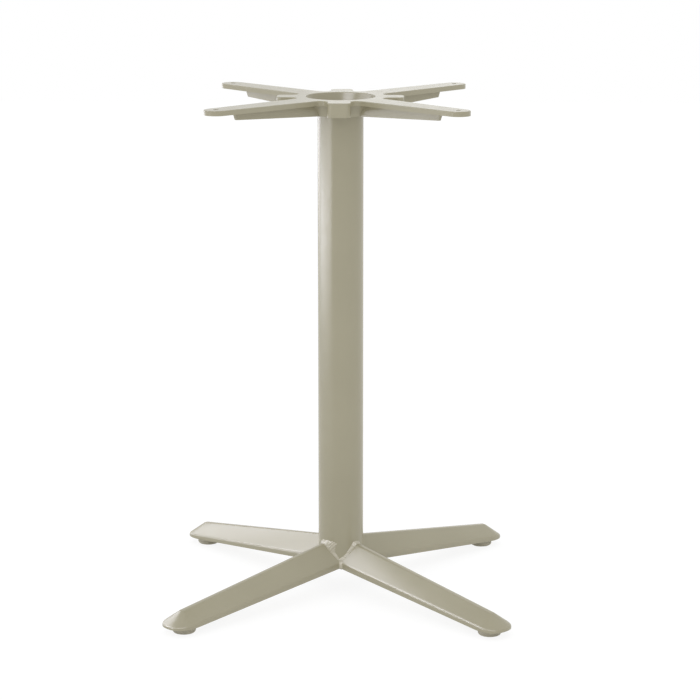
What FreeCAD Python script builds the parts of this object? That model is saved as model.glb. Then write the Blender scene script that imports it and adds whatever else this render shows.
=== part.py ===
import FreeCAD, Part
import math
import os

# A column table base: four welded legs with levelling glides, a round column and a four-armed top spider.
# Millimetres. The origin is on the floor under the column, +Z is up, legs and long arms lie on the diagonals.

# Whole base
base_height = 720.0
side_names = ("back_right", "back_left", "front_left", "front_right")
first_leg_angle = 45.0

# Column
column_diameter = 65.0
column_wall = 2.0
column_end_lift = 36.3

# Legs: heights are given where the leg meets the column and over the glide
foot_radius = 299.0
leg_width = 50.0
leg_ridge_width = 6.8
leg_root_ridge_height = 72.0
leg_foot_ridge_height = 32.6
leg_foot_lift = 10.4
leg_root_rim_height = 8.3
leg_foot_rim_height = 6.8
leg_end_centre_reach = 3.0
leg_end_length = 26.6
leg_end_fullness = 0.7
leg_wall = 3.0
leg_rim_round = 2.5
leg_ridge_round = 5.0
leg_root_gap = 0.1
leg_parting_gap = 0.5

# Weld round each leg's root
weld_size = 3.6
weld_edge = 0.8
weld_gap = 0.05

# Levelling glides
glide_diameter = 32.4
glide_height = 9.6
glide_edge_round = 3.6
glide_top_chamfer = 0.8
glide_travel = 8.0
stud_diameter = 8.0
stud_least_grip = 7.0
stud_sink = 6.0
stud_seat_gap = 0.02
stud_point_chamfer = 1.0
thread_gap = 0.3
boss_diameter = 18.0
boss_roof_gap = 0.1
boss_pad_gap = 0.3

# Top spider
spider_depth = 24.0
spider_hole_spacing = 325.0
spider_hole_diameter = 7.0
arm_tip_width = 33.6
arm_root_width = 42.0
arm_root_radius = 75.0
plate_thickness = 7.0
plate_edge_round = 1.2
web_root_radius = 60.0
web_root_width = 16.0
web_root_depth = 23.5
web_end_radius = 198.0
web_end_width = 6.0
web_end_depth = 17.0
web_end_slant = 3.0
web_draft = 0.8
stub_width = 32.0
stub_reach = 89.5
stub_depth = 20.0
stub_wall = 5.0
stub_corner_round = 8.0
valley_round = 10.0
hub_shoulder_diameter = 116.0
hub_foot_diameter = 96.0
dish_mouth_diameter = 98.0
dish_floor_diameter = 85.0
dish_floor_thickness = 6.0
dish_floor_round = 4.0

# Fixing of the spider to the column
top_plate_thickness = 8.0
top_plate_gap = 0.1
screw_count = 4
screw_circle_diameter = 40.0
screw_diameter = 8.0
screw_hole_gap = 0.5
screw_thread_gap = 0.1
screw_grip = 7.0
screw_head_diameter = 14.0
screw_head_height = 4.4
screw_head_chamfer = 2.2
screw_key_width = 5.0
screw_key_depth = 2.6
screw_key_sides = 6
washer_diameter = 16.0
washer_thickness = 1.6

# Sizes that follow from the ones above
column_radius = column_diameter / 2
column_top = base_height - spider_depth
plate_underside = base_height - plate_thickness
dish_floor_height = column_top + dish_floor_thickness
spider_hole_radius = spider_hole_spacing / math.sqrt(2)
boss_underside = glide_height + boss_pad_gap
stud_end_height = boss_underside + glide_travel + stud_least_grip
washer_top = dish_floor_height + washer_thickness
near = 1e-4

ORIGIN = FreeCAD.Vector(0, 0, 0)
UP = FreeCAD.Vector(0, 0, 1)


def along(x, x0, y0, x1, y1):
    """Value at x on the straight line through (x0, y0) and (x1, y1)."""
    return y0 + (x - x0) * (y1 - y0) / (x1 - x0)


def rod(radius, low, high, x=0.0):
    """Upright round bar between two heights, its axis at x on the X axis."""
    return Part.makeCylinder(radius, high - low, FreeCAD.Vector(x, 0, low), UP)


def turned(shape, angle):
    """Copy of a shape turned about the column's axis."""
    copy = shape.copy()
    copy.rotate(ORIGIN, UP, angle)
    return copy


def round_pattern(shape, count, first_angle):
    """Copies of a shape spaced evenly round the column's axis."""
    return [turned(shape, first_angle + index * 360.0 / count) for index in range(count)]


def fused(shapes):
    """One solid out of several, with the seams between coplanar faces taken out."""
    return shapes[0].multiFuse(shapes[1:]).removeSplitter()


def prism(plan, low, high):
    """Upright prism over a plan outline given as (x, y) corners."""
    corners = [FreeCAD.Vector(x, y, low) for x, y in plan]
    return Part.Face(Part.makePolygon(corners + corners[:1])).extrude(UP * (high - low))


def revolved(outline):
    """Solid of revolution about the Z axis from (radius, height) corners."""
    corners = [FreeCAD.Vector(radius, 0, height) for radius, height in outline]
    return Part.Face(Part.makePolygon(corners + corners[:1])).revolve(ORIGIN, UP, 360)


def edge_middle(edge):
    """Point halfway along an edge."""
    return edge.valueAt((edge.FirstParameter + edge.LastParameter) / 2)


def is_upright(edge):
    """True for a straight edge that runs along Z."""
    ends = [vertex.Point for vertex in edge.Vertexes]
    return len(ends) == 2 and math.hypot(ends[0].x - ends[1].x, ends[0].y - ends[1].y) < near


def lower_edge(x):
    """Height of a leg's lower edge at distance x from the column's axis."""
    return along(x, column_radius, column_end_lift, foot_radius, leg_foot_lift)


def rim_edge(x):
    """Height of the edge between a leg's upright rim and its sloping side."""
    return lower_edge(x) + along(x, column_radius, leg_root_rim_height, foot_radius, leg_foot_rim_height)


def ridge(x):
    """Height of a leg's ridge at distance x from the column's axis."""
    return along(x, column_radius, leg_root_ridge_height, foot_radius, leg_foot_ridge_height)


def leg_outline(half_width, end_length, height_at):
    """Closed outline of a leg at one level: two parallel sides and a full, rounded outer end."""
    start = column_radius / 2
    bend = foot_radius + leg_end_centre_reach
    tip = bend + end_length
    ahead = bend + leg_end_fullness * end_length
    aside = leg_end_fullness * half_width

    def spot(x, y):
        return FreeCAD.Vector(x, y, height_at(x))

    def straight(first, second):
        return Part.LineSegment(first, second).toShape()

    def quarter(poles):
        curve = Part.BezierCurve()
        curve.setPoles(poles)
        return curve.toShape()

    left = [spot(bend, half_width), spot(ahead, half_width), spot(tip, aside), spot(tip, 0)]
    right = [spot(tip, 0), spot(tip, -aside), spot(ahead, -half_width), spot(bend, -half_width)]
    return Part.Wire([
        straight(spot(start, half_width), left[0]),
        quarter(left),
        quarter(right),
        straight(right[3], spot(start, -half_width)),
        straight(spot(start, -half_width), spot(start, half_width)),
    ])


def leg_block(offset):
    """Solid leg whose faces lie an offset outside the real ones, or inside them for a minus value."""
    run = (leg_width - leg_ridge_width) / 2
    slope = math.atan2(ridge(foot_radius) - rim_edge(foot_radius), run)
    rim_shift = offset * math.tan((math.pi / 2 - slope) / 2)
    ridge_half = leg_ridge_width / 2 + offset * math.tan(slope / 2)
    side_half = leg_width / 2 + offset
    side_end = leg_end_length + offset
    return Part.makeLoft([
        leg_outline(side_half, side_end, lambda x: lower_edge(x) - max(-offset, 0.0)),
        leg_outline(side_half, side_end, lambda x: rim_edge(x) + rim_shift),
        leg_outline(ridge_half, ridge_half, lambda x: ridge(x) + offset),
    ], True, True)


def rounded_leg_block():
    """Solid leg with its ridge and the top of its rim rounded."""
    def follows(edge, height_at):
        points = [vertex.Point for vertex in edge.Vertexes]
        return all(abs(point.z - height_at(point.x)) < near for point in points)

    def outside(edge):
        return edge_middle(edge).x > column_radius / 2 + near

    block = leg_block(0.0)
    block = block.makeFillet(leg_rim_round, [e for e in block.Edges if outside(e) and follows(e, rim_edge)])
    return block.makeFillet(leg_ridge_round, [e for e in block.Edges if outside(e) and follows(e, ridge)])


def leg_sector(gap):
    """Room for one leg: a quarter of the plan, short of the mitre lines, above the level end of its rim."""
    reach = foot_radius + leg_width
    inset = gap / math.sqrt(2)
    plan = [(inset, 0), (reach + inset, -reach), (reach + inset, reach)]
    return prism(plan, leg_foot_lift, base_height)


def make_leg(block):
    """Pressed leg, hollow and open below, cut to the round column and mitred to its neighbours."""
    shell = block.cut(leg_block(-leg_wall))
    shell = shell.common(leg_sector(leg_parting_gap))
    return shell.cut(rod(column_radius + leg_root_gap, 0, base_height))


def make_weld(block):
    """Fillet weld on the outside of a leg where it meets the column, its outer corner cut to a slope."""
    outer = column_radius + weld_size
    ring = rod(outer, 0, base_height).cut(rod(column_radius + weld_gap, 0, base_height))
    bead = ring.common(leg_block(weld_size)).common(leg_sector(leg_parting_gap)).cut(block)

    def is_corner(edge):
        middle = edge_middle(edge)
        points = [vertex.Point for vertex in edge.Vertexes] + [middle]
        on_ring = all(abs(math.hypot(point.x, point.y) - outer) < near for point in points)
        off_leg = block.distToShape(Part.Vertex(middle))[0] > weld_size / 2
        return on_ring and off_leg and middle.z > lower_edge(middle.x) + near

    return bead.makeChamfer(weld_size - weld_edge, [e for e in bead.Edges if is_corner(e)])


def make_glide_pad():
    """Round foot pad with a soft lower edge and a blind hole for its stud."""
    radius = glide_diameter / 2
    pad = rod(radius, 0, glide_height, foot_radius)
    low_edges = [e for e in pad.Edges if abs(edge_middle(e).z) < near]
    pad = pad.makeFillet(glide_edge_round, low_edges)
    high_edges = [e for e in pad.Edges if abs(edge_middle(e).z - glide_height) < near]
    pad = pad.makeChamfer(glide_top_chamfer, high_edges)
    return pad.cut(rod(stud_diameter / 2 + stud_seat_gap, glide_height - stud_sink, base_height, foot_radius))


def make_glide_stud():
    """Threaded stud that stands in the pad, pointed by a chamfer."""
    stud = rod(stud_diameter / 2, glide_height - stud_sink, stud_end_height, foot_radius)
    points = [e for e in stud.Edges if abs(edge_middle(e).z - stud_end_height) < near]
    return stud.makeChamfer(stud_point_chamfer, points)


def make_glide_boss():
    """Threaded boss under a leg's roof, its upper end following the roof."""
    boss = rod(boss_diameter / 2, boss_underside, base_height, foot_radius)
    boss = boss.common(leg_block(-leg_wall - boss_roof_gap))
    return boss.cut(rod(stud_diameter / 2 + thread_gap, 0, base_height, foot_radius))


def make_arm_plate():
    """Flat top of one long arm, tapering to a round tip."""
    root_half = along(0, arm_root_radius, arm_root_width / 2, spider_hole_radius, arm_tip_width / 2)
    tip_half = arm_tip_width / 2
    plan = [(0, -root_half), (spider_hole_radius, -tip_half), (spider_hole_radius, tip_half), (0, root_half)]
    tip = rod(tip_half, plate_underside, base_height, spider_hole_radius)
    return prism(plan, plate_underside, base_height).fuse(tip)


def make_web():
    """Upright rib under one long arm, thinner and shallower towards its slanted outer end."""
    def section(x, slant):
        half = along(x, web_root_radius, web_root_width, web_end_radius, web_end_width) / 2
        depth = along(x, web_root_radius, web_root_depth, web_end_radius, web_end_depth)
        bottom = base_height - depth
        return Part.makePolygon([
            FreeCAD.Vector(x, half, plate_underside),
            FreeCAD.Vector(x, -half, plate_underside),
            FreeCAD.Vector(x - slant, web_draft - half, bottom),
            FreeCAD.Vector(x - slant, half - web_draft, bottom),
            FreeCAD.Vector(x, half, plate_underside),
        ])

    inner_end = section(dish_floor_diameter / 2, 0)
    outer_end = section(web_end_radius, web_end_slant)
    return Part.makeLoft([inner_end, outer_end], True, True)


def make_stub(depth):
    """Short arm between two long ones as a solid block of some depth, its two outer corners rounded."""
    half = stub_width / 2
    plan = [(0, -half), (stub_reach, -half), (stub_reach, half), (0, half)]
    stub = prism(plan, base_height - depth, base_height)
    corners = [e for e in stub.Edges if is_upright(e) and edge_middle(e).x > stub_reach - near]
    return stub.makeFillet(stub_corner_round, corners)


def make_stub_pocket():
    """Room inside a stub, open below."""
    half = stub_width / 2 - stub_wall
    start = hub_shoulder_diameter / 2
    end = stub_reach - stub_wall
    return prism([(start, -half), (end, -half), (end, half), (start, half)], column_top, plate_underside)


def make_dish():
    """Room inside the hub: a round dish with a soft corner round its floor."""
    dish = revolved([(0, dish_floor_height), (dish_floor_diameter / 2, dish_floor_height),
                     (dish_mouth_diameter / 2, base_height), (0, base_height)])
    corner = [e for e in dish.Edges if e.Closed and abs(edge_middle(e).z - dish_floor_height) < near]
    return dish.makeFillet(dish_floor_round, corner)


def make_spider():
    """Cast top spider: four ribbed arms, four stubs and a hub with a round dish."""
    count = len(side_names)
    plate = fused(round_pattern(make_arm_plate(), count, first_leg_angle)
                  + round_pattern(make_stub(plate_thickness), count, 0.0))

    def reach(edge):
        return math.hypot(edge_middle(edge).x, edge_middle(edge).y)

    valleys = [e for e in plate.Edges if is_upright(e) and reach(e) < hub_shoulder_diameter / 2]
    plate = plate.makeFillet(valley_round, valleys)
    hub = revolved([(0, column_top), (hub_foot_diameter / 2, column_top),
                    (hub_shoulder_diameter / 2, plate_underside), (0, plate_underside)])
    stubs = round_pattern(make_stub(stub_depth), count, 0.0)
    webs = round_pattern(make_web(), count, first_leg_angle)
    spider = fused([plate, hub] + stubs + webs)
    spider = spider.cut(round_pattern(make_stub_pocket(), count, 0.0)).cut(make_dish())
    rims = [e for e in spider.Edges if all(abs(v.Point.z - base_height) < near for v in e.Vertexes)]
    spider = spider.makeFillet(plate_edge_round, rims)
    arm_hole = rod(spider_hole_diameter / 2, 0, base_height, spider_hole_radius)
    floor_hole = rod(screw_diameter / 2 + screw_hole_gap, 0, base_height, screw_circle_diameter / 2)
    return spider.cut(round_pattern(arm_hole, count, first_leg_angle)
                      + round_pattern(floor_hole, screw_count, 0.0))


def make_column():
    """Round tube from the legs' lower edge up to the spider."""
    outside = rod(column_radius, column_end_lift, column_top)
    return outside.cut(rod(column_radius - column_wall, column_end_lift, column_top))


def make_top_plate():
    """Tapped disc inside the tube's upper end."""
    disc = rod(column_radius - column_wall - top_plate_gap, column_top - top_plate_thickness, column_top)
    hole = rod(screw_diameter / 2 + screw_thread_gap, 0, base_height, screw_circle_diameter / 2)
    return disc.cut(round_pattern(hole, screw_count, 0.0))


def make_screw():
    """Button-head screw with a six-sided key socket."""
    centre = screw_circle_diameter / 2
    head_top = washer_top + screw_head_height
    head = rod(screw_head_diameter / 2, washer_top, head_top, centre)
    top_edges = [e for e in head.Edges if abs(edge_middle(e).z - head_top) < near]
    head = head.makeChamfer(screw_head_chamfer, top_edges)
    corner = screw_key_width / math.sqrt(3)
    turns = [2 * math.pi * index / screw_key_sides for index in range(screw_key_sides)]
    plan = [(centre + corner * math.cos(turn), corner * math.sin(turn)) for turn in turns]
    socket = prism(plan, head_top - screw_key_depth, head_top)
    shank = rod(screw_diameter / 2, column_top - screw_grip, washer_top, centre)
    return head.fuse(shank).cut(socket)


def make_washer():
    """Flat washer under a screw head."""
    centre = screw_circle_diameter / 2
    disc = rod(washer_diameter / 2, dish_floor_height, washer_top, centre)
    return disc.cut(rod(screw_diameter / 2 + screw_hole_gap, dish_floor_height, washer_top, centre))


def save(name, shape):
    """Write one piece to its own file."""
    shape.exportStep(os.path.join("parts", name + ".step"))
    print(name, shape.isValid(), len(shape.Solids), round(shape.Volume))


def main():
    os.makedirs("parts", exist_ok=True)
    block = rounded_leg_block()
    side_pieces = {
        "leg": make_leg(block),
        "weld": make_weld(block),
        "glide_boss": make_glide_boss(),
        "glide_pad": make_glide_pad(),
        "glide_stud": make_glide_stud(),
    }
    for piece, shape in side_pieces.items():
        for name, copy in zip(side_names, round_pattern(shape, len(side_names), first_leg_angle)):
            save(piece + "_" + name, copy)
    save("column_tube", make_column())
    save("column_top_plate", make_top_plate())
    save("top_spider", make_spider())
    save("spider_screws", Part.makeCompound(round_pattern(make_screw(), screw_count, 0.0)))
    save("spider_washers", Part.makeCompound(round_pattern(make_washer(), screw_count, 0.0)))


main()
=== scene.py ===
# %% [markdown]
# A table base is a frame of steel: one tube, four pressed legs, four foot glides and a cast spider on
# top. The exact solids come from the imported model, in metres, with the floor at height zero and +Z up. We
# load them first and read sizes from their boxes.

# %% Load the frame
import math
import bpy
import numpy as np
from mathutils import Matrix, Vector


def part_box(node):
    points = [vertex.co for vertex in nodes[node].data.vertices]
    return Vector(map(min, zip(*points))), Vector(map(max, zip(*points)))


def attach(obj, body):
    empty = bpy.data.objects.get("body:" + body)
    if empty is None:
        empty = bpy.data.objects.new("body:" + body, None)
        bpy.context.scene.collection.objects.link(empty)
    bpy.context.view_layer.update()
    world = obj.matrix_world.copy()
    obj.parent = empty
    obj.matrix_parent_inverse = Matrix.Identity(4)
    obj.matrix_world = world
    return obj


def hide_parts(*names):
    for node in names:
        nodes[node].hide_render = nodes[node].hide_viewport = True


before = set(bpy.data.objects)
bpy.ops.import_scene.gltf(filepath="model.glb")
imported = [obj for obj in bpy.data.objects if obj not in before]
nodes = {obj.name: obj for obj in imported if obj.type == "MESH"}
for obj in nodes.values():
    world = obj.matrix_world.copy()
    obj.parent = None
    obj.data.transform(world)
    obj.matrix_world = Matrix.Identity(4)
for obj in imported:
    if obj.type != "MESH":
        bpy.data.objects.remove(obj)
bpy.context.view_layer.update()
sides = ("back_right", "back_left", "front_left", "front_right")
first_leg_degrees = 45
leg_spacing_degrees = 90
side_turn = {side: math.radians(first_leg_degrees + leg_spacing_degrees * index)
             for index, side in enumerate(sides)}

# %% [markdown]
# Every new piece here is a surface with two parameters: a grid of points, one row after the other.
# Blender could build such shapes with its own spin and screw tools, but a grid in numpy shows the formula
# itself and puts the piece straight into its place. Two helpers turn any grid into a mesh: the first
# joins the points that fall together at seams and poles, the second makes the object, smooth but with its
# real corners kept sharp. Two more turn a grid about the column, and spin a profile into a grid. A disc
# in eight steps shows that they close seams and poles: it should have nine points and eight triangles.

# %% From grids to meshes
join_distance = 1e-7
corner_degrees = 38.0


def weld_grids(grids):
    """Quads of several point grids as one list of points and faces.

    Each grid has the shape (rows, columns, 3). Neighbouring points make a quad, equal points become one,
    and a quad that has lost a corner at a pole becomes a triangle.
    """
    points = []
    quads = []
    start = 0
    for grid in grids:
        rows, columns = grid.shape[:2]
        index = start + np.arange(rows * columns).reshape(rows, columns)
        corners = (index[:-1, :-1], index[1:, :-1], index[1:, 1:], index[:-1, 1:])
        quads.append(np.stack(corners, axis=-1).reshape(-1, 4))
        points.append(grid.reshape(-1, 3))
        start += rows * columns
    points = np.concatenate(points)
    rounded = np.round(points / join_distance).astype(np.int64)
    first, same = np.unique(rounded, axis=0, return_index=True, return_inverse=True)[1:]
    quads = same.reshape(-1)[np.concatenate(quads)]
    lost = quads == np.roll(quads, -1, axis=1)
    whole = lost.sum(axis=1) == 0
    at_pole = lost.sum(axis=1) == 1
    triangles = quads[at_pole][~lost[at_pole]].reshape(-1, 3)
    return points[first], quads[whole].tolist() + triangles.tolist()


def piece_from_grids(name, grids, body, finish, sharp_degrees=corner_degrees):
    """A named object at the origin, riding on a body, with one finish."""
    points, faces = weld_grids(grids)
    mesh = bpy.data.meshes.new(name)
    mesh.from_pydata(points.tolist(), [], faces)
    mesh.validate()
    mesh.shade_smooth()
    mesh.set_sharp_from_angle(angle=math.radians(sharp_degrees))
    mesh.materials.append(finish)
    piece = bpy.data.objects.new(name, mesh)
    bpy.context.scene.collection.objects.link(piece)
    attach(piece, body)
    print(name, len(points), "points", len(faces), "faces")
    return piece


# %% Turning and spinning
def turned(grid, angle):
    """A grid turned about the column's axis: x and y by the plane rotation, z as it was."""
    x, y, z = np.moveaxis(grid, -1, 0)
    cosine, sine = math.cos(angle), math.sin(angle)
    return np.stack([x * cosine - y * sine, x * sine + y * cosine, z], axis=-1)


def full_turn(segments):
    """Angles once round in equal steps, with the last set back to zero so that the seam closes exactly."""
    turn = np.linspace(0, 2 * math.pi, segments + 1)
    turn[-1] = 0.0
    return turn


def spun(profile, segments, centre_x=0.0):
    """A profile of (radius, height) points carried round an upright axis at centre_x.

    x = centre + radius cos t, y = radius sin t, and z is the height.
    """
    turn = full_turn(segments)[:, None]
    radius = profile[None, :, 0]
    x = centre_x + radius * np.cos(turn)
    y = radius * np.sin(turn)
    z = np.broadcast_to(profile[None, :, 1], x.shape)
    return np.stack([x, y, z], axis=-1)


disc_points, disc_faces = weld_grids([spun(np.array([(0.0, 0.0), (1.0, 0.0)]), segments=8)])
print("disc in 8 steps:", len(disc_points), "points", len(disc_faces), "faces")

# %% [markdown]
# A finish is a small tree of nodes. One could set a single colour and gloss, but every real surface
# drifts a little. Here noise fields, stretched between two values, drive the colour, the gloss and a
# bump. Everything reads Object coordinates, so the pattern stays put on each piece. Scales are in cycles
# per metre.

# %% Helpers for finishes
noise_least, noise_most = 0.3, 0.7


def new_finish(name):
    """A new material with its node tree, its shader and the socket that gives Object coordinates."""
    finish = bpy.data.materials.new(name)
    finish.use_nodes = True
    tree = finish.node_tree
    place = tree.nodes.new("ShaderNodeTexCoord").outputs["Object"]
    return finish, tree, tree.nodes["Principled BSDF"], place


def noise(tree, place, scale, detail=2.0):
    """A noise field over the object, as the socket of its value."""
    node = tree.nodes.new("ShaderNodeTexNoise")
    node.inputs["Scale"].default_value = scale
    node.inputs["Detail"].default_value = detail
    tree.links.new(place, node.inputs["Vector"])
    return node.outputs["Fac"]


def spread(tree, field, low, high):
    """A field's middle range stretched between two values."""
    node = tree.nodes.new("ShaderNodeMapRange")
    node.inputs["From Min"].default_value = noise_least
    node.inputs["From Max"].default_value = noise_most
    node.inputs["To Min"].default_value = low
    node.inputs["To Max"].default_value = high
    tree.links.new(field, node.inputs["Value"])
    return node.outputs["Result"]


def colour_from(tree, shader, field, first, second):
    """The shader's colour, mixed from two tones by a field."""
    node = tree.nodes.new("ShaderNodeMix")
    node.data_type = "RGBA"
    node.inputs["A"].default_value = (*first, 1.0)
    node.inputs["B"].default_value = (*second, 1.0)
    tree.links.new(spread(tree, field, 0.0, 1.0), node.inputs["Factor"])
    tree.links.new(node.outputs["Result"], shader.inputs["Base Color"])


def gloss_from(tree, shader, field, low, high):
    """The shader's roughness, between two values by a field."""
    tree.links.new(spread(tree, field, low, high), shader.inputs["Roughness"])


def bump_from(tree, shader, field, depth, strength):
    """The shader's bump from a field, where depth is the height of the skin in metres."""
    node = tree.nodes.new("ShaderNodeBump")
    node.inputs["Distance"].default_value = depth
    node.inputs["Strength"].default_value = strength
    tree.links.new(field, node.inputs["Height"])
    tree.links.new(node.outputs["Normal"], shader.inputs["Normal"])


print("noise is read from", noise_least, "to", noise_most)

# %% [markdown]
# The whole frame is powder coated in a warm stone grey. Powder is sprayed dry and melted in an oven, so
# up close it has a soft orange-peel skin and a satin gloss. A single grey would look like plastic. We add
# a fine bump with a grain of about a millimetre, a slow drift in tone over a hand's width, and a little
# unevenness in the gloss. Over the weld beads the same powder lies on spatter, so there the grain is
# coarse. The beads' tone is also painted a shade lighter, a painted highlight for the glints on the lumps.

# %% Powder coat
powder_tone_scale = 9.0
powder_gloss_scale = 60.0
powder_gloss = (0.22, 0.26)
powder_ior = 1.55
stone_tones = ((0.398, 0.364, 0.250), (0.422, 0.387, 0.268))
# The bead tones are lighter than the stone grey: a painted highlight for the bright glints on the beads.
bead_tones_painted_highlight = ((0.53, 0.49, 0.37), (0.60, 0.555, 0.43))


def powder_finish(name, tones, skin_scale, skin_depth, skin_strength):
    """Powder coat between two tones, with a skin of a given grain."""
    finish, tree, shader, place = new_finish(name)
    colour_from(tree, shader, noise(tree, place, powder_tone_scale), *tones)
    gloss_from(tree, shader, noise(tree, place, powder_gloss_scale), *powder_gloss)
    bump_from(tree, shader, noise(tree, place, skin_scale), skin_depth, skin_strength)
    shader.inputs["IOR"].default_value = powder_ior
    print("finish", name, "with", len(tree.nodes), "nodes")
    return finish


powder_coat = powder_finish("powder_coat_stone", stone_tones,
                            skin_scale=1100.0, skin_depth=0.00002, skin_strength=0.1)
# This coat carries the painted highlight of the beads in its lighter tone.
bead_coat_painted_highlight = powder_finish("powder_coat_bead_painted_highlight", bead_tones_painted_highlight,
                          skin_scale=420.0, skin_depth=0.0010, skin_strength=0.8)

# %% [markdown]
# Two smaller finishes complete the base. The foot glides are moulded in a nylon of the frame's colour, a
# bit duller and finer in the skin. Their tone is painted lighter than the frame's, as painted light that
# lifts the shade falling on them under the legs. The studs and screws are zinc plated steel: bright,
# faintly blue, with short streaks from turning, so their tone and roughness follow a noise that is
# squeezed along the axis.

# %% Glide nylon
# Lighter than the stone grey: painted light that lifts the shade falling on the glides under the legs.
nylon_tones_lifted_by_painted_light = ((0.490, 0.455, 0.346), (0.528, 0.490, 0.374))
nylon_gloss = (0.46, 0.58)
glide_nylon, tree, shader, place = new_finish("glide_nylon")
colour_from(tree, shader, noise(tree, place, scale=40.0), *nylon_tones_lifted_by_painted_light)
gloss_from(tree, shader, noise(tree, place, scale=220.0), *nylon_gloss)
bump_from(tree, shader, noise(tree, place, scale=2200.0), depth=0.00002, strength=0.4)
print("finish", glide_nylon.name, "with", len(tree.nodes), "nodes")

# %% Zinc plate
zinc_tones = ((0.55, 0.57, 0.60), (0.68, 0.69, 0.70))
zinc_gloss = (0.26, 0.42)
streak_squeeze = 14.0
zinc_plate, tree, shader, place = new_finish("zinc_plate")
squeeze = tree.nodes.new("ShaderNodeMapping")
squeeze.inputs["Scale"].default_value = (1.0, 1.0, streak_squeeze)
tree.links.new(place, squeeze.inputs["Vector"])
streaks = noise(tree, squeeze.outputs["Vector"], scale=180.0, detail=4.0)
colour_from(tree, shader, streaks, *zinc_tones)
gloss_from(tree, shader, streaks, *zinc_gloss)
shader.inputs["Metallic"].default_value = 1.0
print("finish", zinc_plate.name, "with", len(tree.nodes), "nodes")

# %% [markdown]
# The column is a drawn steel tube. A cylinder primitive would show flat strips in its long highlight,
# which is the most telling thing on the whole base. So we spin its real wall section, outside, ends and
# inside, with fine steps round the axis and a small broken edge at both ends, as a saw and a deburring
# wheel leave it.

# %% Column
column_low, column_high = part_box("column_tube")
column_radius = column_high.x
column_wall = 0.002
broken_edge = 0.0004
column_segments = 192


def tube_section(outer, inner, low, high, edge):
    """The wall's closed section as (radius, height) points, its corners cut by edge.

    It runs up the outside and down the inside.
    """
    return np.array([
        (outer - edge, low), (outer, low + edge), (outer, high - edge), (outer - edge, high),
        (inner + edge, high), (inner, high - edge), (inner, low + edge), (inner + edge, low),
        (outer - edge, low),
    ])


wall = tube_section(column_radius, column_radius - column_wall, column_low.z, column_high.z, broken_edge)
tube = spun(wall, column_segments)
column = piece_from_grids("column_skin", [tube], "frame", powder_coat)
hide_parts("column_tube")
print("column diameter", round(2 * column_radius * 1000, 2), "mm")

# %% [markdown]
# A leg is pressed from sheet: a tent in section, with a narrow flat ridge, sloping sides, an upright rim,
# and a rounded end that closes like a cone. One could bevel a box, but the taper makes the slope change
# all along the leg. Here the section is a path over eight corners, four outside and four inside. Each
# point on the path is a weighted mean of those corners, and the corners' heights fall in a straight line
# along the leg, so the whole shell, with its soft bends and its wall, is one multiplication of weights by
# corner heights.

# %% Leg sizes
leg_half = 0.025
ridge_half = 0.0034
sheet = 0.003
pad_low, pad_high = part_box("glide_pad_back_right")
foot_radius = math.hypot((pad_low.x + pad_high.x) / 2, (pad_low.y + pad_high.y) / 2)
end_centre_reach = 0.003
end_centre = foot_radius + end_centre_reach
end_length = 0.0266
end_fullness = 0.7
root_gap = 0.0001
root_radius = column_radius + root_gap
parting_gap = 0.0005
mitre_gap = parting_gap / math.sqrt(2)
root_low = 0.0363
root_rim = root_low + 0.0083
root_ridge = 0.072
foot_low = 0.0104
foot_rim = foot_low + 0.0068
foot_ridge = 0.0326
side_slope = math.atan2(foot_ridge - foot_rim, leg_half - ridge_half)
print("foot radius", round(foot_radius * 1000, 2), "mm")
print("side slope", round(math.degrees(side_slope), 1), "degrees")

# %% Leg section
ridge_bend = (0.48, 0.06)
rim_bend = (0.09, 0.40)
lip_bend = (0.06, 0.25)
outside_bends = [ridge_bend, rim_bend, lip_bend]
inside_bends = [bend[::-1] for bend in outside_bends[::-1]]
inner_rim_drop = sheet * math.tan((math.pi / 2 - side_slope) / 2)
inner_ridge_half = ridge_half - sheet * math.tan(side_slope / 2)
outside_half = [0, ridge_half, leg_half, leg_half]
inside_half = [leg_half - sheet, leg_half - sheet, inner_ridge_half, 0]
corner_half = np.array(outside_half + inside_half)
outside_reach = [0, ridge_half, end_length, end_length]
inside_reach = [end_length - sheet, end_length - sheet, inner_ridge_half, 0]
corner_reach = np.array(outside_reach + inside_reach)


def bent_path(corners, bends, steps=5):
    """Weights of points along a path over some corners, each inner corner bent by a quadratic curve.

    bends gives, for each inner corner, the share of the stretch before and after it that the bend takes.
    A bend point at q is (1-q)^2 of its start, 2q(1-q) of the corner and q^2 of its end.
    """
    whole = np.eye(corners)
    rows = [whole[0]]
    q = np.linspace(0, 1, steps)[:, None]
    for corner, (before, after) in zip(range(1, corners - 1), bends):
        start = whole[corner] * (1 - before) + whole[corner - 1] * before
        end = whole[corner] * (1 - after) + whole[corner + 1] * after
        rows.extend((1 - q) ** 2 * start + 2 * q * (1 - q) * whole[corner] + q ** 2 * end)
    rows.append(whole[-1])
    return np.array(rows)


section_weights = bent_path(len(corner_half), outside_bends + inside_bends)
print("leg section", len(section_weights), "points over", len(corner_half), "corners")


# %% Leg heights and roots
def along(x, at_root, at_foot):
    """Height at distance x from the axis on the straight line from the column to the glide."""
    return at_root + (x - column_radius) * (at_foot - at_root) / (foot_radius - column_radius)


def corner_heights(x):
    """Heights of the eight section corners at distances x: ridge, ridge, rim, lip, and the same inside."""
    ridge = along(x, root_ridge, foot_ridge)
    rim = along(x, root_rim, foot_rim)
    lip = np.maximum(along(x, root_low, foot_low), foot_low)
    inner_rim = rim - inner_rim_drop
    return np.stack([ridge, ridge, rim, lip, lip, inner_rim, ridge - sheet, ridge - sheet], axis=-1)


def root_start(half):
    """Where a leg starts at a half width: on the column's circle, or on the mitre to its neighbour."""
    return np.maximum(np.sqrt(root_radius ** 2 - half ** 2), half + mitre_gap)


print("rim starts", round(float(root_start(leg_half)) * 1000, 2), "mm from the axis")


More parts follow.
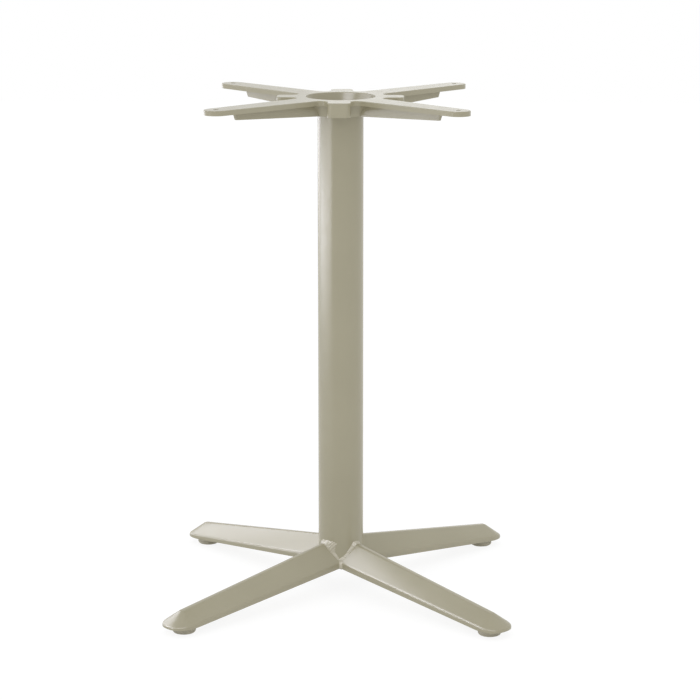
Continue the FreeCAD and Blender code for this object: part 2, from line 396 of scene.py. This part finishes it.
# %% Leg shell
def full_quarter(steps):
    """A quarter turn from straight aside to straight ahead, fuller than a circle, as shares (ahead, aside).

    It is the cubic curve with corners (0, 1), (f, 1), (1, f) and (1, 0), where f is the end's fullness.
    """
    q = np.linspace(0, 1, steps + 1)
    early = 3 * q * (1 - q) ** 2
    late = 3 * q ** 2 * (1 - q)
    return end_fullness * early + late + q ** 3, (1 - q) ** 3 + early + end_fullness * late


def leg_grids(length_steps=36, end_steps=24):
    """Shell of one leg along +X: the section carried out on one side, round the end and back.

    On the sides x runs from the root to the end's centre. On the end x = centre + reach * ahead and
    y = half width * aside. The height is the section's weights times the corner heights at that x.
    Two strips close the wall at the root.
    """
    half = section_weights @ corner_half
    far = section_weights @ corner_reach
    share = np.linspace(0, 1, length_steps + 1)[:, None]
    start = root_start(half)[None, :]
    side_x = start + (end_centre - start) * share
    side_y = np.broadcast_to(half, side_x.shape)
    ahead, aside = full_quarter(end_steps)
    quarter_x = end_centre + ahead[1:, None] * far
    quarter_y = aside[1:, None] * half
    x = np.concatenate([side_x, quarter_x, quarter_x[-2::-1], side_x[::-1]])
    y = np.concatenate([side_y, quarter_y, -quarter_y[-2::-1], -side_y])
    z = (corner_heights(x) * section_weights[None, :, :]).sum(axis=-1)
    shell = np.stack([x, y, z], axis=-1)
    middle = shell.shape[1] // 2
    left_end = np.stack([shell[0, :middle], shell[0, ::-1][:middle]], axis=0)
    right_end = np.stack([shell[-1, ::-1][:middle], shell[-1, :middle]], axis=0)
    return [shell[:, ::-1], left_end, right_end]


leg_shell = leg_grids()
for side in sides:
    grids = [turned(grid, side_turn[side]) for grid in leg_shell]
    leg = piece_from_grids("leg_skin_" + side, grids, "frame", powder_coat)
    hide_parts("leg_" + side)

# %% [markdown]
# The weld where each leg meets the column is what makes the joint look hand made. A plain rounded corner
# would be too clean. A weld bead is a row of frozen drops that fills the corner between column and leg.
# So we carry a flat oval along the leg's root line, with one edge on the column and one on the leg, and
# let it swell every few millimetres, drop by drop. The welder dwells at the ridge and at the bottom
# corners, so each bead also gets its own row of widths from lip to lip, and a slow uneven swell from a
# seeded noise.

# %% Root line
bead_rows = 300


def root_line():
    """The root line of a leg from lip to lip over the ridge: points evenly spaced, and their distances."""
    outside = section_weights[:len(section_weights) // 2]
    half = outside @ corner_half
    x = root_start(half)
    z = (corner_heights(x) * outside).sum(axis=-1)
    rising = np.stack([x, half, z], axis=-1)[::-1]
    line = np.concatenate([rising, rising[-2::-1] * (1, -1, 1)])
    length = np.append(0, np.cumsum(np.linalg.norm(np.diff(line, axis=0), axis=1)))
    even = np.linspace(0, length[-1], bead_rows)
    return np.stack([np.interp(even, length, line[:, axis]) for axis in range(3)], axis=-1), even


line, distance = root_line()
print("root line", round(distance[-1] * 1000, 1), "mm long")

# %% Bead sizes
millimetre = 0.001
bead_height = 0.0026
bead_root = 0.0012
bead_inset = 0.0020
bead_flatness = 1.7
bead_slope = 0.16
bead_end = 0.0022
bead_segments = 28
bead_corner_degrees = 80.0
usual_width = 0.003
height_power = 0.3
drop_pitch = 0.0029
drop_least = 0.90
drop_swell = 0.16
drop_arc = 0.45
shift_knots, shift_size = 16, 0.5
swell_knots, swell_size = 26, 0.14
bead_rises = {"back_right": 1.0, "back_left": 2.4, "front_left": 1.1, "front_right": 1.4}
# Widths on the column in millimetres, at nine places from lip to lip
bead_widths = {
    "back_right": (2.6, 2.4, 2.6, 3.2, 3.6, 3.4, 2.8, 2.6, 3.0),
    "back_left": (3.0, 2.8, 3.6, 4.6, 4.4, 3.2, 2.6, 2.6, 3.0),
    "front_left": (0.5, 0.6, 4.6, 15.0, 5.0, 2.8, 2.8, 2.6, 3.0),
    "front_right": (3.0, 2.6, 2.6, 3.0, 3.6, 3.8, 2.5, 3.0, 6.0),
}
print("drops on a bead", round(distance[-1] / drop_pitch))


# %% Weld beads
def unit_rows(rows):
    """Each row of a list of vectors divided by its own length."""
    return rows / np.linalg.norm(rows, axis=1, keepdims=True)


def signed_power(values, power):
    """Values with their size raised to a power and their sign kept."""
    return np.sign(values) * np.abs(values) ** power


def smooth_knots(values, count, short_of_last=0.001):
    """A row of values spread evenly and joined by cosine steps, read at count places."""
    values = np.asarray(values, dtype=float)
    place_on = np.linspace(0, len(values) - 1 - short_of_last, count)
    before = place_on.astype(int)
    ease = (1 - np.cos(math.pi * (place_on - before))) / 2
    return values[before] * (1 - ease) + values[before + 1] * ease


def bead_grid(widths, rise, seed):
    """A flat oval along the root line: point = line + wide * across + lift * out - sag * radial.

    across lies on the column and out lies on the leg, both square to the line. wide and lift follow the
    cosine and sine of t with their size raised to bead_flatness, which makes the face between column and leg
    nearly straight. wide is the bead's own width on the column and bead_inset inside the leg, lift is its
    height outwards and bead_root behind the line. Width and height swell with the drops, |sin| of the
    distance over the pitch, bent into arcs by the oval's angle. sag is how far the column curves away: half
    the square of the sideways step over its radius.
    """
    ahead = unit_rows(np.gradient(line, axis=0))
    radial = unit_rows(line * (1, 1, 0))
    across = unit_rows(np.cross(ahead, radial))
    leg_way = np.array([1.0, 0.0, -bead_slope])
    out = unit_rows(leg_way - (ahead @ leg_way)[:, None] * ahead)
    uneven = np.random.default_rng(seed)
    shift = shift_size * smooth_knots(uneven.uniform(-1, 1, shift_knots), bead_rows)
    swell = 1 + swell_size * smooth_knots(uneven.uniform(-1, 1, swell_knots), bead_rows)
    turn = full_turn(bead_segments)
    arcs = (distance / drop_pitch + shift)[:, None] - drop_arc * np.cos(turn)
    drops = drop_least + drop_swell * np.abs(np.sin(math.pi * arcs))
    width = millimetre * smooth_knots(widths, bead_rows) * swell
    height = rise * bead_height * (width / usual_width) ** height_power
    to_end = np.minimum(distance, distance[-1] - distance)
    closing = np.sqrt(np.clip(to_end / bead_end, 0, 1))[:, None]
    aside = signed_power(np.cos(turn), bead_flatness)
    outward = signed_power(np.sin(turn), bead_flatness)
    wide = np.where(aside > 0, width[:, None] * drops, bead_inset) * aside * closing
    lift = np.where(outward > 0, height[:, None] * drops, bead_root) * outward * closing
    step = wide[..., None] * across[:, None, :]
    rising = lift[..., None] * out[:, None, :]
    sag = (step[..., :2] ** 2).sum(axis=-1) / (2 * column_radius)
    return line[:, None, :] + step + rising - sag[..., None] * radial[:, None, :]


for number, side in enumerate(sides):
    grid = turned(bead_grid(bead_widths[side], bead_rises[side], number), side_turn[side])
    bead = piece_from_grids("weld_bead_" + side, [grid], "frame", bead_coat_painted_highlight,
                            bead_corner_degrees)
    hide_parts("weld_" + side)

# %% [markdown]
# Each foot stands on a levelling glide: a round nylon pad on a threaded stud. A pad is one spun profile
# with a soft lower edge. The stud shows its thread when the glide is screwed out, so its radius is a
# triangle wave that climbs one pitch in each turn. A boolean with a helix would do the same, with far
# more faces and risk.

# %% Glide pads
pad_radius = (pad_high.x - pad_low.x) / 2
pad_edge = 0.0036
pad_bevel = 0.0008
pad_segments = 72
pad_corner_degrees = 30.0


def pad_profile(steps=10):
    """Bottom centre, a quarter circle of radius pad_edge, the wall, a small bevel and the top's centre."""
    turn = np.linspace(-math.pi / 2, 0, steps)
    edge_radius = pad_radius - pad_edge + pad_edge * np.cos(turn)
    edge_height = pad_edge + pad_edge * np.sin(turn)
    low_edge = np.stack([edge_radius, edge_height], axis=-1)
    top = pad_high.z
    rest = [(pad_radius, top - pad_bevel), (pad_radius - pad_bevel, top), (0.0, top)]
    return np.concatenate([[(0.0, 0.0)], low_edge, rest])


pad_grid = spun(pad_profile(), pad_segments, foot_radius)
for side in sides:
    grid = turned(pad_grid, side_turn[side])
    pad = piece_from_grids("glide_pad_skin_" + side, [grid], "glide_" + side, glide_nylon,
                           pad_corner_degrees)
    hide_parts("glide_pad_" + side)

# %% Glide studs
stud_low, stud_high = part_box("glide_stud_back_right")
stud_radius = (stud_high.x - stud_low.x) / 2
stud_chamfer = 0.001
thread_pitch = 0.00125
thread_depth = 0.00068
thread_corner_degrees = 50.0


def thread_grid(segments=40, rows_per_turn=10):
    """Radius = stud radius - depth * triangle(z / pitch - t / one turn), with a chamfer at the top.

    The first and last rows close on the axis. Rows run downwards, so that the faces point outwards.
    """
    rows = int((stud_high.z - stud_low.z) / thread_pitch * rows_per_turn) + 1
    z = np.linspace(stud_low.z, stud_high.z, rows)[:, None]
    turn = full_turn(segments)[None, :]
    phase = np.mod(z / thread_pitch - turn / (2 * math.pi), 1.0)
    radius = stud_radius - thread_depth * (1 - np.abs(2 * phase - 1))
    radius = np.minimum(radius, stud_radius - stud_chamfer + (stud_high.z - z))
    radius[[0, -1]] = 0.0
    x = foot_radius + radius * np.cos(turn)
    y = radius * np.sin(turn)
    return np.stack([x, y, np.broadcast_to(z, x.shape)], axis=-1)[::-1]


stud_grid = thread_grid()
for side in sides:
    grid = turned(stud_grid, side_turn[side])
    stud = piece_from_grids("glide_stud_skin_" + side, [grid], "glide_" + side, zinc_plate,
                            thread_corner_degrees)
    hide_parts("glide_stud_" + side)

# %% [markdown]
# The spider, the bosses under the legs and the fixing screws are already right as solids: flat plates,
# ribs, rounded valleys and a turned dish. They keep their own meshes, and only take the finishes made
# above.

# %% Finishes for the kept solids
steel_nodes = ("column_top_plate", "spider_screws", "spider_washers")
for name, node in nodes.items():
    if node.hide_render:
        continue
    node.data.materials.clear()
    node.data.materials.append(zinc_plate if name in steel_nodes else powder_coat)
    print("kept", name, node.data.materials[0].name)

# %% [markdown]
# The stage is a pale floor that runs on as the backdrop. The photograph shows pure white behind the base,
# and white comes from what the camera and the reflections see, not from more light on the object. Light
# Path tells the ray types apart: camera, glossy and transmission rays get white, the others a plain grey
# sky. The floor glows for those rays too, but only in part, so that it keeps the shadow of the base.

# %% Sky
sky_colour = (0.97, 0.98, 1.0, 1.0)
sky_strength = 0.82


def white_for_the_eye(tree):
    """A factor of 1 for camera, glossy and transmission rays and 0 for the rest."""
    path = tree.nodes.new("ShaderNodeLightPath")
    factor = path.outputs["Is Camera Ray"]
    for ray in ("Is Glossy Ray", "Is Transmission Ray"):
        either = tree.nodes.new("ShaderNodeMath")
        either.operation = "MAXIMUM"
        tree.links.new(factor, either.inputs[0])
        tree.links.new(path.outputs[ray], either.inputs[1])
        factor = either.outputs[0]
    return factor


def mix_surface(tree, factor, plain, bright, output):
    """The output's surface as a mix by a factor: 0 gives the plain shader and 1 the bright one."""
    mix = tree.nodes.new("ShaderNodeMixShader")
    tree.links.new(factor, mix.inputs["Fac"])
    tree.links.new(plain.outputs[0], mix.inputs[1])
    tree.links.new(bright.outputs[0], mix.inputs[2])
    tree.links.new(mix.outputs[0], tree.nodes[output].inputs["Surface"])


world = bpy.data.worlds.new("studio_sky")
bpy.context.scene.world = world
world.use_nodes = True
tree = world.node_tree
sky = tree.nodes["Background"]
sky.inputs["Color"].default_value = sky_colour
sky.inputs["Strength"].default_value = sky_strength
white = tree.nodes.new("ShaderNodeBackground")
white.inputs["Color"].default_value = (1.0, 1.0, 1.0, 1.0)
mix_surface(tree, white_for_the_eye(tree), sky, white, "World Output")
print("sky strength", sky_strength)

# %% Floor
floor_colour = (0.86, 0.86, 0.85, 1.0)
floor_roughness = 0.9
glow_strength = 1.10
glow_share = 0.8
floor_half = 6.0

floor_finish, tree, shader, _ = new_finish("studio_floor")
shader.inputs["Base Color"].default_value = floor_colour
shader.inputs["Roughness"].default_value = floor_roughness
glow = tree.nodes.new("ShaderNodeEmission")
glow.inputs["Strength"].default_value = glow_strength
fade = tree.nodes.new("ShaderNodeMath")
fade.operation = "MULTIPLY"
fade.inputs[1].default_value = glow_share
tree.links.new(white_for_the_eye(tree), fade.inputs[0])
mix_surface(tree, fade.outputs[0], shader, glow, "Material Output")

edge = np.array([-floor_half, floor_half])
floor_grid = np.stack([*np.meshgrid(edge, edge, indexing="ij"), np.zeros((2, 2))], axis=-1)
floor_points, floor_faces = weld_grids([floor_grid])
floor_mesh = bpy.data.meshes.new("studio_floor")
floor_mesh.from_pydata(floor_points.tolist(), [], floor_faces)
floor_mesh.materials.append(floor_finish)
floor = bpy.data.objects.new("studio_floor", floor_mesh)
bpy.context.scene.collection.objects.link(floor)
print("floor", 2 * floor_half, "m wide")

# %% [markdown]
# The light is a plain soft studio. A broad lamp high on the left gives the base its faint shadow. The
# other boxes are there for the gloss, most of them side by side like one wall of light on the left. Two
# low strips draw the bright band and the bright edge on the column, the boxes above them show in the soft
# bends and on the sloping sides of the legs. A photographer keeps such boxes from washing out the colour
# by distance and grids. Here ray visibility switches their diffuse light off.

# %% Lights
wall_x = -2.1
strip_x = -2.08
neutral = (1.0, 1.0, 1.0)
cool = (0.90, 0.90, 1.0)


def soft_box(name, at, towards, width, height, watts, colour):
    """A rectangular area light at a place, turned to face a point."""
    light = bpy.data.lights.new(name, "AREA")
    light.shape = "RECTANGLE"
    light.size = width
    light.size_y = height
    light.energy = watts
    light.color = colour
    lamp = bpy.data.objects.new(name, light)
    direction = np.subtract(towards, at)
    level = math.hypot(direction[0], direction[1])
    lamp.location = at
    lamp.rotation_euler = (math.atan2(level, -direction[2]), 0.0, math.atan2(-direction[0], direction[1]))
    bpy.context.scene.collection.objects.link(lamp)
    return lamp


def wall_box(name, y, z, width, height, watts, x=wall_x):
    """A cool soft box in the wall of light on the left, facing straight across the floor."""
    return soft_box(name, (x, y, z), (0.0, y, z), width, height, watts, cool)


soft_box("lamp_high_left", (-1.3, -1.6, 2.4), (0.0, 0.0, 0.3), 2.0, 2.0, 6.0, neutral)
boxes_off_spider = (
    wall_box("box_left", -0.025, 1.38, 1.95, 1.30, 35.0),
    wall_box("box_left_above", -0.75, 1.85, 1.7, 0.90, 17.0),
    wall_box("box_left_behind", 1.725, 2.05, 1.55, 1.20, 27.0),
    wall_box("box_low_behind", 1.875, 0.95, 1.85, 1.00, 15.0),
    wall_box("strip_rims", -0.05, 0.90, 1.2, 0.40, 12.0, strip_x),
    wall_box("strip_low_left", -0.60, 0.185, 3.0, 0.25, 19.5),
    soft_box("box_right_front", (0.55, -2.0, 1.85), (0.0, 0.0, 0.30), 1.4, 0.90, 28.0, cool),
)
boxes_on_all = (
    wall_box("strip_low_behind", 2.70, 0.23, 3.4, 0.46, 12.0),
    soft_box("box_left_front", (-1.05, -1.95, 2.15), (0.0, 0.0, 0.70), 1.6, 0.75, 21.0, cool),
    soft_box("strip_behind", (0.75, 3.0, 1.02), (0.75, 0.0, 1.02), 1.8, 0.50, 1.2, neutral),
)
boxes_on_spider = (
    wall_box("box_dish", 0.30, 1.56, 2.6, 0.72, 14.0),
    wall_box("strip_ribs", -0.60, 0.185, 3.0, 0.25, 8.6),
)
for lamp in (*boxes_off_spider, *boxes_on_all, *boxes_on_spider):
    lamp.visible_diffuse = False

# %% [markdown]
# The flat top of the spider would mirror the wall of light whole and turn white in a view from the right.
# A photographer would hang a flag between them. Light linking does that here: it keeps most boxes off the
# spider, and lets a smaller box show in its dish and a weaker strip on its ribs.

# %% Light linking
def spider_group(name, state):
    """A collection with the spider alone, for a lamp that lights nothing else or everything else."""
    group = bpy.data.collections.new(name)
    group.objects.link(nodes["top_spider"])
    group.collection_objects[0].light_linking.link_state = state
    return group


all_but_spider = spider_group("all_but_spider", "EXCLUDE")
spider_only = spider_group("spider_only", "INCLUDE")
for lamp in boxes_off_spider:
    lamp.light_linking.receiver_collection = all_but_spider
for lamp in boxes_on_spider:
    lamp.light_linking.receiver_collection = spider_only
print("kept off the spider", len(boxes_off_spider), "for the spider alone", len(boxes_on_spider))

# %% [markdown]
# The photograph was taken from about three and a half metres with a long lens, a little above the table
# height and looking slightly down. A camera could be placed by eye, but then no outline would lie on the
# photograph's. These values, in metres and radians, come from fitting the column's edges, the glides and
# the screw holes.

# %% Camera
camera_distance = 3.4325
camera_height = 1.1168
camera_swing = 0.028
camera_pan = -0.0039
camera_pitch = 0.2186
focal_pixels = 2444.9
image_pixels = 700

camera_data = bpy.data.cameras.new("photo_camera")
camera_data.sensor_fit = "HORIZONTAL"
camera_data.sensor_width = 36.0
camera_data.lens = camera_data.sensor_width * focal_pixels / image_pixels
camera = bpy.data.objects.new("photo_camera", camera_data)
camera.location = (
    camera_distance * math.sin(camera_swing),
    -camera_distance * math.cos(camera_swing),
    camera_height,
)
camera.rotation_euler = (math.pi / 2 - camera_pitch, 0.0, camera_swing + camera_pan)
bpy.context.scene.collection.objects.link(camera)
bpy.context.scene.camera = camera
bpy.context.scene.view_settings.view_transform = "Standard"
print("lens", round(camera_data.lens, 1), "mm")
